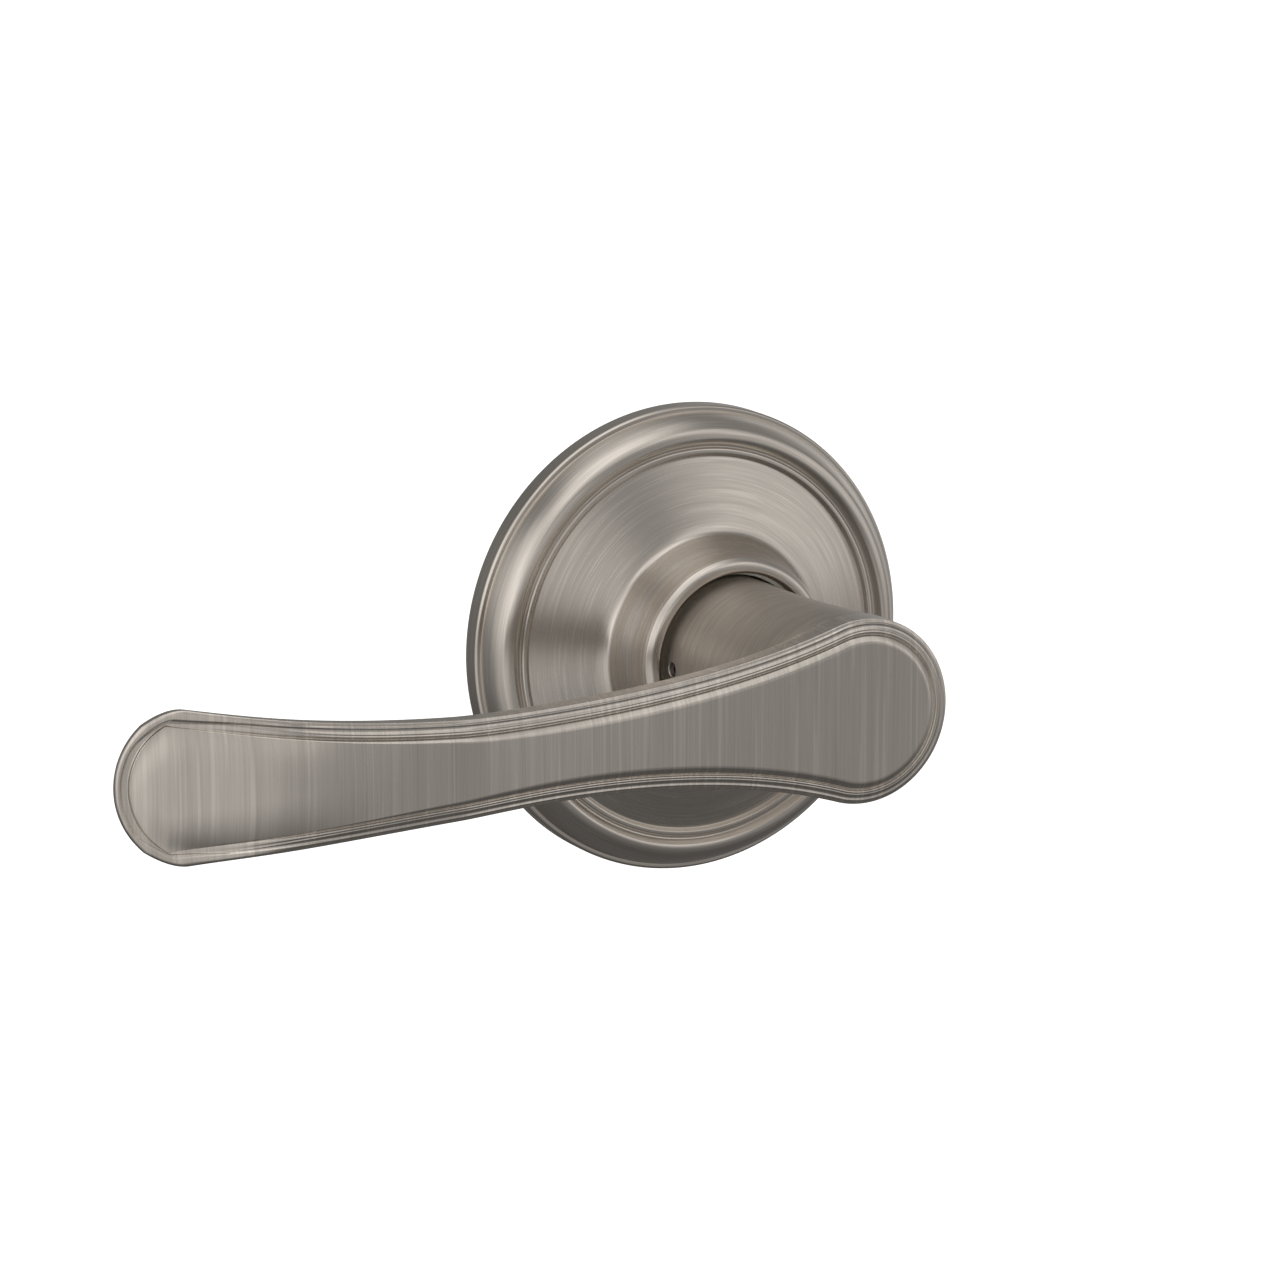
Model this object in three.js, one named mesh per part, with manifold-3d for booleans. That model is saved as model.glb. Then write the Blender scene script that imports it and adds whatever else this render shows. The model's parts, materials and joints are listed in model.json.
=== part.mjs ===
// Door lever handle: one half-set of a spring-returned passage lever, in millimetres, +Z up.
// The spindle axis is Y. Y = 0 is the face of the door: the handle stands out along -Y, the arm
// points along -X, and the posts and the spindle reach along +Y into the door.
// "out" is a distance from the door's face towards the hand (out = -Y), so what lies in the door
// has a negative out. "radius" is a distance from the spindle axis.
import * as THREE from 'three';
import { mergeVertices } from 'three/addons/utils/BufferGeometryUtils.js';
import Module from 'manifold-3d';

const wasm = await Module();
wasm.setup();

// --- driving dimensions ---

const gap = 0.25;             // between pieces that touch
const runGap = 0.3;           // between a turning piece and what it turns in

// rosette
const roseRadius = 34;        // edge that lies on the door
const roseRise = 18.5;        // door to the crest of the neck bead
const roseWall = 1;
const neckGap = 0.8;          // between the shank and the rim of its hole
const bushWall = 1.2;

// lever
const leverReach = 107.4;     // spindle axis to the end of the arm
const headRadius = 12.9;
const headOut = 55.2;         // door to the border of the face, at the head
const crestOut = 60.8;        // the same where the arm bows out furthest
const crestReach = 63.5;      // spindle axis to that place
const tipOut = 50;            // the same at the end of the arm
const bladeThick = 4.4;       // from the head to where the arm starts to thin
const thinReach = 60;         // spindle axis to that place
const tipThick = 1;           // at the end of the arm
const endDepth = 7.4;         // of the rounded end, from its corners to its tip
const cornerHalf = 10.66;     // half height at those corners
const cornerSoft = 3;         // length of each corner's rounding
const borderWidth = 2.4;      // moulded border along the edges
const tipBorder = 1.8;        // the same around the end
const panelRise = 0.5;        // height of the raised panel at the head
const bevelWidth = 0.9;
const shankWall = 2.2;        // at the rosette

// spindle sleeve, spindle and catch
const sleeveRadius = 9;
const sleeveWall = 1.6;
const sleeveEnd = 37;         // out
const sleeveTail = 2;         // how far it reaches into the door
const hubDepth = 9;           // out, front of the square hub in the sleeve
const flatDepth = 1.2;        // of the two flats that turn the lever
const keyLength = 13;
const spindleSide = 8;
const spindleDepth = 50;      // door's face to the end of the spindle
const catchOut = 20;
const catchNose = 1.7;        // radius
const catchThrow = 1;         // how far the nose stands in the lever's pocket
const pinHole = 1;            // radius of the hole that a release pin goes in

// mounting plate, posts, spring cage
const plateThick = 2;
const clipSpace = 4.2;        // rosette's edge to the plate's edge, for the clips
const boreRadius = 27;        // hole in the door
const bossDepth = 5;
const postSpread = 19;        // spindle axis to each post
const postRadius = 4;
const postDepth = 18;
const threadRadius = 2.1;
const cageWall = 1.1;
const cageCorner = 1.5;       // slope between its wall and its roof
const screwMargin = 3.3;      // cage's wall to the middle of each screw
const screwRadius = 1.4;
const clipWidth = 8;
const clipThick = 0.6;

// driver and return spring
const driverThick = 1.6;
const driverLift = 0.6;       // above the plate
const springWire = 1.3;       // diameter
const springGap = 1.85;       // between the sleeve and the coil
const legReach = 5.7;         // coil's middle to the cage's wall, for the legs
const springTurns = 1;
const stopTurn = 50;          // degrees that the lever turns each way
const fingerWidth = 4;
const washerThick = 0.5;
const waveThick = 0.3;
const waveRise = 0.2;
const ringThick = 1;

// --- places worked out from them ---

const shankRadius = sleeveRadius + runGap + shankWall;
const neckHole = shankRadius + neckGap;
const plateRadius = roseRadius - clipSpace;
const springRadius = sleeveRadius + springGap + springWire / 2;
const cageRadius = springRadius + legReach;
const screwSpread = cageRadius + cageWall + screwMargin;
const plateHole = sleeveRadius + 0.5;
const sleeveBore = sleeveRadius - sleeveWall;
const leverBore = sleeveRadius + runGap;
const keyFlat = sleeveRadius - flatDepth;
const catchReach = leverBore + catchThrow;
const cageBack = plateThick + gap;
const driverBack = plateThick + driverLift;
const driverFront = driverBack + driverThick;
const coilPitch = springWire + 0.2;
const legSide = fingerWidth / 2 + gap + springWire / 2;
const legAngle = Math.asin(legSide / springRadius);
const coilTurns = springTurns - legAngle / Math.PI;
const coilLow = driverFront + gap + springWire / 2;
const coilHigh = coilLow + coilTurns * coilPitch;
const roofBack = coilHigh + springWire / 2 + gap;
const roofFront = roofBack + cageWall;
const washerBack = roofFront + gap;
const waveBack = washerBack + washerThick + gap;
const ringBack = waveBack + waveThick + 2 * waveRise + gap;
const ringFront = ringBack + ringThick;
const ringRadius = sleeveRadius + 1.6;
const grooveRadius = sleeveRadius - 0.8;
const shankStart = ringFront + gap;
const bushRadius = shankRadius + runGap + bushWall;
const collarBore = bushRadius + gap;
const collarFront = roseRise - 2.1;
const bushBack = roofFront + gap;
const bushFlange = 1;
const collarBack = bushBack + bushFlange + gap;
const stopRadius = cageRadius - 2;      // inner end of the cage's stops
const armRadius = cageRadius - 0.5;     // outer end of the driver's arm
const lugInner = springRadius + springWire / 2 + gap;
const lugOuter = stopRadius - 0.6;

// --- materials ---

const metal = (color, roughness) => new THREE.MeshStandardMaterial({ color, roughness, metalness: 1 });
const plastic = (color, roughness) => new THREE.MeshStandardMaterial({ color, roughness, metalness: 0 });
const satinNickel = metal(0x9c958a, 0.35);
const steel = metal(0x8d8f90, 0.4);
const zincSteel = metal(0xb3b5ae, 0.45);
const springSteel = metal(0x6b6862, 0.35);
const castZinc = metal(0x8b8c8e, 0.6);
const nylon = plastic(0xd8d4c6, 0.55);
const blackNylon = plastic(0x232426, 0.5);

// --- closed solids ---

// A closed geometry as a solid, turned right side out where its faces came out reversed.
function solid(geometry) {
  const bare = geometry.clone();
  bare.deleteAttribute('normal');
  bare.deleteAttribute('uv');
  const merged = mergeVertices(bare, 1e-4);
  const at = merged.attributes.position;
  const corners = [new THREE.Vector3(), new THREE.Vector3(), new THREE.Vector3()];
  const faces = [];
  let volume = 0;
  for (let i = 0; i < merged.index.count; i += 3) {
    const face = [0, 1, 2].map((k) => merged.index.getX(i + k));
    if (new Set(face).size < 3) continue;
    face.forEach((v, k) => corners[k].fromBufferAttribute(at, v));
    volume += corners[0].dot(corners[1].cross(corners[2]));
    faces.push(face);
  }
  const triVerts = new Uint32Array(faces.flatMap(([a, b, c]) => (volume < 0 ? [a, c, b] : [a, b, c])));
  return new wasm.Manifold(new wasm.Mesh({ numProp: 3, vertProperties: at.array, triVerts }));
}

// A solid turned about the spindle axis from [radius, out] points that close on themselves.
function turned(points, segments = 40) {
  const profile = [...points, points[0]].map(([radius, out]) => new THREE.Vector2(radius, -out));
  return solid(new THREE.LatheGeometry(profile, segments));
}

function tube(inner, outer, back, front, segments = 40) {
  return turned([[inner, back], [outer, back], [outer, front], [inner, front]], segments);
}

// A cylinder along the spindle axis, set off from it by x and z.
function peg(radius, back, front, x = 0, z = 0, segments = 24) {
  const shape = new THREE.CylinderGeometry(radius, radius, front - back, segments);
  return solid(shape.translate(x, -(back + front) / 2, z));
}

// A block from its x, out and z limits.
function block([x0, x1], [back, front], [z0, z1]) {
  const shape = new THREE.BoxGeometry(x1 - x0, front - back, z1 - z0);
  return solid(shape.translate((x0 + x1) / 2, -(back + front) / 2, (z0 + z1) / 2));
}

// A cylinder along X between two x values, at a height out from the door.
function crossPeg(radius, x0, x1, out, segments = 24) {
  const shape = new THREE.CylinderGeometry(radius, radius, x1 - x0, segments);
  return solid(shape.rotateZ(Math.PI / 2).translate((x0 + x1) / 2, -out, 0));
}

// A flat shape in the XZ plane given thickness from back to front.
function plate(shape, back, front, curveSegments = 48) {
  const flat = new THREE.ExtrudeGeometry(shape, { depth: front - back, bevelEnabled: false, curveSegments });
  return solid(flat.rotateX(Math.PI / 2).translate(0, -back, 0));
}

// A ring sector between two radii, about an angle from +X towards +Z.
function sector(inner, outer, middle, halfAngle, back, front) {
  const shape = new THREE.Shape();
  shape.absarc(0, 0, outer, middle - halfAngle, middle + halfAngle, false);
  shape.absarc(0, 0, inner, middle + halfAngle, middle - halfAngle, true);
  return plate(shape, back, front, 12);
}

// A wire along a curve.
function wire(points, diameter, steps, sides = 8) {
  const round = new THREE.Shape();
  round.absarc(0, 0, diameter / 2, 0, 2 * Math.PI, false);
  const path = new THREE.CatmullRomCurve3(points);
  return solid(new THREE.ExtrudeGeometry(round, { steps, extrudePath: path, curveSegments: sides / 2 }));
}

const spin = (piece, degrees) => piece.rotate([0, -degrees, 0]);

const handle = new THREE.Group();

function add(name, piece, material) {
  const { vertProperties, triVerts } = piece.getMesh();
  const geometry = new THREE.BufferGeometry();
  geometry.setAttribute('position', new THREE.BufferAttribute(vertProperties, 3));
  geometry.setIndex(new THREE.BufferAttribute(triVerts, 1));
  geometry.computeVertexNormals();
  const mesh = new THREE.Mesh(geometry, material.clone());
  mesh.name = name;
  handle.add(mesh);
}

// --- rosette ---

// Outer face from the door to the neck: rim, rounded outer ring, crease with a bead, shallow cone,
// shoulder, collar and neck bead. The inner face follows it one wall below.
function makeRosette() {
  const ring = roseRadius;
  const hole = neckHole;
  const top = roseRise;
  const outer = [
    [ring, 0], [ring, 2.8], [ring - 0.9, 3.05], [ring - 1.6, 5], [ring - 2.9, 6.7], [ring - 3.9, 7.2],
    [ring - 5.4, 6.2], [ring - 6.2, 6.7], [ring - 7, 6.2], [ring - 7.5, 6.4],
    [hole + 5.3, top - 9], [hole + 4.3, top - 8.4], [hole + 3.6, top - 6.3], [hole + 2.8, top - 4],
    [hole + 2.2, top - 1.2], [hole + 1.3, top], [hole + 0.4, top], [hole, top - 0.7],
  ];
  const inner = [
    [hole, collarFront], [collarBore, collarFront], [collarBore, collarBack],
    [collarBore + 2, collarBack], [hole + 5.3, top - 10], [ring - 7.4, 5.2], [ring - 5.4, 5],
    [ring - 3, 5.1], [ring - 2, 3.3], [ring - roseWall - 0.2, 2.2], [ring - roseWall - 0.2, 0],
  ];
  return turned([...outer, ...inner], 56);
}

add('rosette_cover', makeRosette(), satinNickel);

// Flanged ring that the shank turns in.
function makeBushing() {
  const inner = shankRadius + runGap;
  const flange = bushBack + bushFlange;
  return turned([
    [inner, bushBack], [bushRadius + 1.4, bushBack], [bushRadius + 1.4, flange],
    [bushRadius, flange], [bushRadius, collarFront - gap], [inner, collarFront - gap],
  ]);
}

add('neck_bushing', makeBushing(), nylon);

// --- lever ---

// Upper half of the arm's outline, from the head round to the end, in four runs of points. Every
// copy drawn further in has the same number of points, so that neighbouring copies can be joined.
const headSteps = 12;
const edgeSteps = 22;
const cornerSteps = 4;
const endSteps = 7;
const headLeave = 1.89;       // angle at which the long edge leaves the head's circle
const cornerReach = leverReach - endDepth;
const endRadius = (cornerHalf ** 2 + endDepth ** 2) / (2 * endDepth);
const endCentre = new THREE.Vector2(endRadius - leverReach, 0);

const leave = new THREE.Vector2(Math.cos(headLeave), Math.sin(headLeave)).multiplyScalar(headRadius);
const corner = new THREE.Vector2(-cornerReach, cornerHalf);
const leaveWay = new THREE.Vector2(-Math.sin(headLeave), Math.cos(headLeave));
const cornerWay = new THREE.Vector2(1, -0.17).normalize();
const longEdge = new THREE.CubicBezierCurve(
  leave,
  leave.clone().addScaledVector(leaveWay, 0.321 * cornerReach),
  corner.clone().addScaledVector(cornerWay, 0.174 * cornerReach),
  corner,
);

// The value between low and high at which a falling function passes zero.
function solve(low, high, falling) {
  for (let i = 0; i < 40; i++) {
    const middle = (low + high) / 2;
    if (falling(middle) > 0) low = middle;
    else high = middle;
  }
  return (low + high) / 2;
}

function edgeAt(t, inset) {
  const way = longEdge.getTangent(t);
  return longEdge.getPoint(t).add(new THREE.Vector2(-way.y, way.x).multiplyScalar(inset));
}

function endAt(angle, inset) {
  const spoke = new THREE.Vector2(Math.cos(angle), Math.sin(angle));
  return endCentre.clone().addScaledVector(spoke, endRadius - inset);
}

// The half outline drawn in by inset along its length and by endInset around its end, with its
// corner rounded over a length of soft.
function halfOutline(inset, endInset, soft) {
  const points = [];
  for (let i = 0; i <= headSteps; i++) {
    const angle = headLeave * i / headSteps;
    const spoke = new THREE.Vector2(Math.cos(angle), Math.sin(angle));
    points.push(spoke.multiplyScalar(headRadius - inset));
  }
  const inside = (t) => edgeAt(t, inset).distanceTo(endCentre) - (endRadius - endInset);
  const cusp = solve(0.8, 1.05, (t) => (edgeAt(t, inset).x < endCentre.x ? -inside(t) : 1));
  const sharp = edgeAt(cusp, inset);
  const edgeStop = cusp - soft / cornerReach;
  for (let i = 1; i <= edgeSteps; i++) points.push(edgeAt(edgeStop * i / edgeSteps, inset));
  const from = points.at(-1);
  const turn = sharp.clone().sub(endCentre).angle() + soft / endRadius;
  const bend = new THREE.QuadraticBezierCurve(from, sharp, endAt(turn, endInset));
  for (let i = 1; i <= cornerSteps; i++) points.push(bend.getPoint(i / cornerSteps));
  for (let i = 1; i <= endSteps; i++) {
    points.push(endAt(turn + (Math.PI - turn) * i / endSteps, endInset));
  }
  return points;
}

// Height of the border's face out from the door at an x along the arm: level with the head, then
// bowing out to the crest and back towards the door at the end.
const fall = leverReach - crestReach;
const rising = new THREE.CubicBezierCurve(
  new THREE.Vector2(0, headOut), new THREE.Vector2(-0.64 * crestReach, headOut),
  new THREE.Vector2(-0.89 * crestReach, crestOut), new THREE.Vector2(-crestReach, crestOut),
);
const falling = new THREE.CubicBezierCurve(
  new THREE.Vector2(-crestReach, crestOut), new THREE.Vector2(-crestReach - 0.62 * fall, crestOut),
  new THREE.Vector2(-leverReach + 0.41 * fall, tipOut + 5.3), new THREE.Vector2(-leverReach, tipOut),
);

function faceOut(x) {
  if (x >= 0) return headOut;
  const curve = x > -crestReach ? rising : falling;
  return curve.getPoint(solve(0, 1, (t) => curve.getPoint(t).x - x)).y;
}

// The arm's thickness at an x: even from the head to thinReach, then thinning to the end.
function thickAt(x) {
  const share = Math.max(0, (-x - thinReach) / (leverReach - thinReach));
  return bladeThick - (bladeThick - tipThick) * share ** 1.5;
}

// Width of the panel's bevel at each point of the outline, as a share of its width at the head:
// it narrows along the arm to nothing at the corners and opens a little around the end.
function bevelShare(i) {
  if (i <= headSteps) return 1;
  const along = (i - headSteps) / edgeSteps;
  if (along < 1) return 1 - along;
  const round = (i - headSteps - edgeSteps - cornerSteps) / endSteps;
  return round > 0 ? 0.5 * Math.sin(round * Math.PI / 2) : 0;
}

// The arm and head: loops of the outline from the middle of the back, up the side wall, over the
// border's moulding and the panel's bevel, each closed to its mirror image below.
function makeBlade() {
  const drawnIn = (share) => halfOutline(borderWidth * share, tipBorder * share, cornerSoft * (1 - share));
  const lifted = (points, lift) => points.map(
    (p, i) => new THREE.Vector3(p.x, -faceOut(p.x) - lift(i, p.x), p.y),
  );
  const edge = drawnIn(1);
  const deep = halfOutline(borderWidth + bevelWidth, tipBorder + bevelWidth, 0);
  const panel = edge.map((p, i) => p.clone().lerp(deep[i], bevelShare(i)));
  const loops = [
    lifted(drawnIn(0.4), (i, x) => -thickAt(x)),
    lifted(drawnIn(0), (i, x) => -0.8 * thickAt(x)),
    lifted(drawnIn(0), () => -0.4),
    lifted(drawnIn(0.16), () => 0),
    lifted(drawnIn(0.4), () => -0.3),
    lifted(drawnIn(0.85), () => -0.35),
    lifted(edge, () => -0.1),
    lifted(panel, (i) => panelRise * bevelShare(i)),
  ];
  const last = loops[0].length - 1;
  const rings = loops.map((half) => {
    const below = half.slice(1, last).reverse().map((p) => new THREE.Vector3(p.x, p.y, -p.z));
    return [...half, ...below];
  });
  const count = rings[0].length;
  const corners = [];
  const quad = (a, b, c, d) => corners.push(a, b, c, a, c, d);
  for (let k = 0; k + 1 < rings.length; k++) {
    for (let i = 0; i < count; i++) {
      const j = (i + 1) % count;
      quad(rings[k][i], rings[k][j], rings[k + 1][j], rings[k + 1][i]);
    }
  }
  const rungs = (ring, i) => [ring[i], ring[i + 1], ring[(count - i - 1) % count], ring[(count - i) % count]];
  for (let i = 0; i < last; i++) {
    quad(...rungs(rings[0], i).reverse());
    quad(...rungs(rings.at(-1), i));
  }
  return solid(new THREE.BufferGeometry().setFromPoints(corners));
}

// A round bar along the spindle axis with two flats above and below from keyStart outwards.
function keyedBar(radius, flat, back, keyStart, front) {
  const round = peg(radius, back, keyStart, 0, 0, 40);
  const slab = block([-2 * radius, 2 * radius], [keyStart, front], [-flat, flat]);
  return round.add(peg(radius, keyStart, front, 0, 0, 40).intersect(slab));
}

const keyStart = sleeveEnd - keyLength;

function makeLever() {
  const root = headOut - bladeThick + 1.5;
  const neckLevel = roseRise - 0.5;
  const level = (share) => neckLevel + (root - neckLevel) * share;
  const wide = headRadius - 0.2;
  const flare = wide - shankRadius;
  const shank = turned([
    [0, shankStart], [shankRadius, shankStart], [shankRadius, neckLevel],
    [shankRadius + 0.2 * flare, level(0.35)], [shankRadius + 0.55 * flare, level(0.7)],
    [wide, root], [0, root],
  ]);
  const bore = keyedBar(leverBore, keyFlat + runGap, shankStart - 1, keyStart + runGap, sleeveEnd + runGap);
  const pocket = crossPeg(catchNose + 0.4, -catchReach - 0.4, -sleeveRadius + 1, catchOut);
  const hole = crossPeg(pinHole, -shankRadius - 2, -sleeveRadius, catchOut);
  return makeBlade().add(shank).subtract(bore).subtract(pocket).subtract(hole);
}

add('lever_handle', makeLever(), satinNickel);

// --- sleeve, spindle and catch ---

// Tube that carries the lever: flats for the lever, a hole for the catch, a groove for the snap
// ring, two slots for the driver's keys, and a hub with a square hole for the spindle.
const keySlot = 1.2;          // half width
const squareHole = spindleSide / 2 + 0.15;
const pinOut = hubDepth - 2.8;
const crossPin = 1;           // radius

function makeSleeve() {
  const groove = tube(grooveRadius, sleeveRadius + 1, ringBack - 0.1, ringFront + 0.1);
  const slots = [-1, 1].map((side) => block(
    [side * sleeveRadius - 0.9, side * sleeveRadius + 0.9], [-sleeveTail - 1, driverFront + gap],
    [-keySlot - gap, keySlot + gap],
  ));
  const pin = new THREE.CylinderGeometry(crossPin + 0.05, crossPin + 0.05, 4 * sleeveRadius, 24);
  return keyedBar(sleeveRadius, keyFlat, -sleeveTail, keyStart, sleeveEnd)
    .subtract(peg(sleeveBore, hubDepth, sleeveEnd + 1, 0, 0, 48))
    .subtract(block([-squareHole, squareHole], [-sleeveTail - 1, hubDepth + 1], [-squareHole, squareHole]))
    .subtract(crossPeg(catchNose + 0.25, -sleeveRadius - 1, -sleeveBore + 1, catchOut))
    .subtract(solid(pin.rotateX(Math.PI / 2).translate(0, -pinOut, 0)))
    .subtract(groove).subtract(slots[0]).subtract(slots[1]);
}

add('spindle_sleeve', makeSleeve(), zincSteel);

function makeSpindle() {
  const half = spindleSide / 2;
  const front = hubDepth + 1.5;
  const bar = block([-half, half], [-spindleDepth, front], [-half, half]);
  const trim = turned([
    [0, -spindleDepth], [half, -spindleDepth], [1.35 * half, 2 - spindleDepth],
    [1.35 * half, front], [0, front],
  ], 32);
  const pin = new THREE.CylinderGeometry(crossPin + 0.05, crossPin + 0.05, 4 * half, 24);
  return bar.intersect(trim).subtract(solid(pin.rotateX(Math.PI / 2).translate(0, -pinOut, 0)));
}

add('spindle', makeSpindle(), steel);

const pinShape = new THREE.CylinderGeometry(crossPin, crossPin, 2 * sleeveRadius - 0.8, 24);
add('spindle_pin', solid(pinShape.rotateX(Math.PI / 2).translate(0, -pinOut, 0)), springSteel);

// Moulded block inside the sleeve that guides the catch and seats its spring.
const carrierBack = hubDepth + 1.5 + gap;
const carrierFront = 2 * catchOut - carrierBack;
const carrierRadius = sleeveBore - gap;
const flangeRadius = 2.7;
const flangeThick = 1.2;
const seatX = carrierRadius - 2.2;

function makeCarrier() {
  const body = peg(carrierRadius, carrierBack, carrierFront, 0, 0, 48);
  const window = peg(2.4, carrierFront - 3, carrierFront + 1, 0, 0, 24);
  return body.subtract(crossPeg(flangeRadius + 0.3, -carrierRadius - 1, seatX, catchOut)).subtract(window);
}

add('catch_carrier', makeCarrier(), blackNylon);

// Stepped pin: its flange stops inside the sleeve and its nose stands in the lever's pocket.
const flangeFace = gap - Math.sqrt(sleeveBore ** 2 - flangeRadius ** 2);

function makeCatch() {
  const flange = crossPeg(flangeRadius, flangeFace, flangeFace + flangeThick, catchOut);
  const guide = crossPeg(1.1, flangeFace + flangeThick - 0.1, flangeFace + flangeThick + 3, catchOut, 16);
  const nose = crossPeg(catchNose, 0.5 - catchReach, flangeFace + 0.1, catchOut);
  const tip = crossPeg(catchNose - 0.5, -catchReach, 0.6 - catchReach, catchOut);
  return flange.add(guide).add(nose).add(tip);
}

add('lever_catch', makeCatch(), springSteel);

// Open-ended coil between the catch's flange and the carrier's seat.
function makeCatchSpring() {
  const thick = 0.6;
  const turns = 6;
  const from = flangeFace + flangeThick + gap + thick / 2;
  const to = seatX - gap - thick / 2;
  const points = [];
  for (let i = 0; i <= 12 * turns; i++) {
    const angle = i * Math.PI / 6;
    const x = from + (to - from) * i / (12 * turns);
    points.push(new THREE.Vector3(x, 2 * Math.cos(angle) - catchOut, 2 * Math.sin(angle)));
  }
  return wire(points, thick, 10 * turns, 6);
}

add('catch_spring', makeCatchSpring(), springSteel);

// --- return mechanism ---

// Washer on the sleeve, keyed into its slots, with an arm below that meets the cage's stops and a
// lug on the arm that opens the return spring.
function makeDriver() {
  const half = fingerWidth / 2;
  const disc = tube(sleeveRadius + 0.1, springRadius + 1.2, driverBack, driverFront);
  const keys = [-1, 1].map((side) => block(
    [side * (sleeveRadius + 0.2) - 0.6, side * (sleeveRadius + 0.2) + 0.6], [driverBack, driverFront],
    [-keySlot, keySlot],
  ));
  const arm = block([-half, half], [driverBack, driverFront], [-armRadius, -springRadius]);
  const lug = block([-half, half], [driverFront - 0.1, coilHigh + springWire / 2], [-lugOuter, -lugInner]);
  return disc.add(keys[0]).add(keys[1]).add(arm).add(lug);
}

add('driver_cam', makeDriver(), steel);

// Coil around the sleeve whose two legs stand either side of the driver's lug and the cage's
// finger: turning the lever either way pushes one leg while the finger holds the other.
function makeReturnSpring() {
  const legEnd = cageRadius - cageCorner - 0.3;
  const coilSteps = 36;
  const foot = -Math.PI / 2 + legAngle;
  const sweep = 2 * Math.PI * coilTurns;
  const leg = (x, out) => [new THREE.Vector3(x, -out, -legEnd), new THREE.Vector3(x, -out, -legEnd + 2)];
  const points = leg(legSide, coilLow);
  for (let i = 1; i < coilSteps * springTurns; i++) {
    const share = i / (coilSteps * springTurns);
    const angle = foot + sweep * share;
    const out = coilLow + (coilHigh - coilLow) * share;
    points.push(new THREE.Vector3(springRadius * Math.cos(angle), -out, springRadius * Math.sin(angle)));
  }
  points.push(...leg(-legSide, coilHigh).reverse());
  return wire(points, springWire, 76, 8);
}

add('return_spring', makeReturnSpring(), springSteel);

const screwPlaces = [30, 150, 270].map((angle) => {
  const turn = angle * Math.PI / 180;
  return [screwSpread * Math.cos(turn), screwSpread * Math.sin(turn)];
});

// Pressed pot over the spring: flange on the plate, two stops for the driver's arm, and a finger
// from its roof between the spring's legs.
function makeCage() {
  const outer = cageRadius + cageWall;
  const flange = cageBack + cageWall;
  const pot = turned([
    [cageRadius, cageBack], [outer + 1.2, cageBack], [outer + 1.2, flange], [outer, flange],
    [outer, roofFront - cageCorner], [outer - cageCorner, roofFront], [leverBore, roofFront],
    [leverBore, roofBack], [cageRadius - cageCorner, roofBack], [cageRadius, roofBack - cageCorner],
  ]);
  const armHalf = Math.asin(fingerWidth / 2 / stopRadius);
  const stopHalf = 0.12;
  const reach = stopTurn * Math.PI / 180 + armHalf + stopHalf + 0.02;
  const below = -Math.PI / 2;
  const stops = [-1, 1].map((side) => sector(
    stopRadius, cageRadius + 0.5, below + side * reach, stopHalf, cageBack, driverFront + gap,
  ));
  const half = fingerWidth / 2;
  const fingerBack = driverFront + gap;
  const finger = block([-half, half], [fingerBack, roofBack + 0.1], [-armRadius + 0.2, -lugOuter - 0.5]);
  let cage = pot.add(stops[0]).add(stops[1]).add(finger);
  for (const [x, z] of screwPlaces) {
    const hole = peg(screwRadius + 0.3, 0, roofBack, x, z, 24);
    cage = cage.add(peg(screwMargin, cageBack, flange, x, z)).subtract(hole);
  }
  return cage;
}

add('spring_cage', makeCage(), zincSteel);
add('thrust_washer', tube(leverBore, leverBore + 2.1, washerBack, washerBack + washerThick), nylon);

// Thin ring waved three times round.
function makeWaveWasher() {
  const middle = waveBack + waveRise;
  const profile = [[leverBore, middle], [leverBore + 1.9, middle], [leverBore + 1.9, middle + waveThick],
    [leverBore, middle + waveThick], [leverBore, middle]];
  const ring = new THREE.LatheGeometry(profile.map(([r, out]) => new THREE.Vector2(r, -out)), 60);
  const at = ring.attributes.position;
  for (let i = 0; i < at.count; i++) {
    const angle = Math.atan2(at.getZ(i), at.getX(i));
    at.setY(i, at.getY(i) + waveRise * Math.sin(3 * angle));
  }
  return solid(ring);
}

add('wave_washer', makeWaveWasher(), springSteel);

// Open ring in the sleeve's groove, split at the top.
function makeSnapRing() {
  const inner = grooveRadius + 0.15;
  const halfGap = 0.22;
  const shape = new THREE.Shape();
  shape.absarc(0, 0, ringRadius, Math.PI / 2 + halfGap, 2.5 * Math.PI - halfGap, false);
  shape.absarc(0, 0, inner, 2.5 * Math.PI - halfGap, Math.PI / 2 + halfGap, true);
  return plate(shape, ringBack, ringFront, 30);
}

add('snap_ring', makeSnapRing(), springSteel);

// --- mounting plate, posts, screws and clips ---

const clipAngles = [90, 210, 330];
const clipFoot = plateRadius - 4.2;      // inner end of each clip
const rivetSpread = clipFoot + 1.9;
const rivetRadius = 0.9;
const clipBack = plateThick + gap;
const clipFront = clipBack + clipThick;

// Round plate on the door's face with a ring boss that centres it in the door's hole.
function makePlate() {
  const boss = boreRadius - 0.7;
  const inside = postSpread + postRadius + 0.7;
  let body = turned([
    [plateHole, 0], [inside, 0], [inside, -bossDepth], [boss, -bossDepth], [boss, 0],
    [plateRadius, 0], [plateRadius, plateThick], [plateHole, plateThick],
  ]);
  for (const x of [-postSpread, postSpread]) {
    body = body.subtract(peg(postRadius - 0.7, -1, plateThick + 1, x));
  }
  for (const [x, z] of screwPlaces) {
    body = body.subtract(peg(screwRadius + 0.1, 0.6, plateThick + 1, x, z, 24));
  }
  const rivetHole = peg(rivetRadius + 0.1, 0.3, plateThick + 1, rivetSpread, 0, 16);
  for (const angle of clipAngles) body = body.subtract(spin(rivetHole, angle));
  return body;
}

add('mounting_plate', makePlate(), castZinc);

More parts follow.
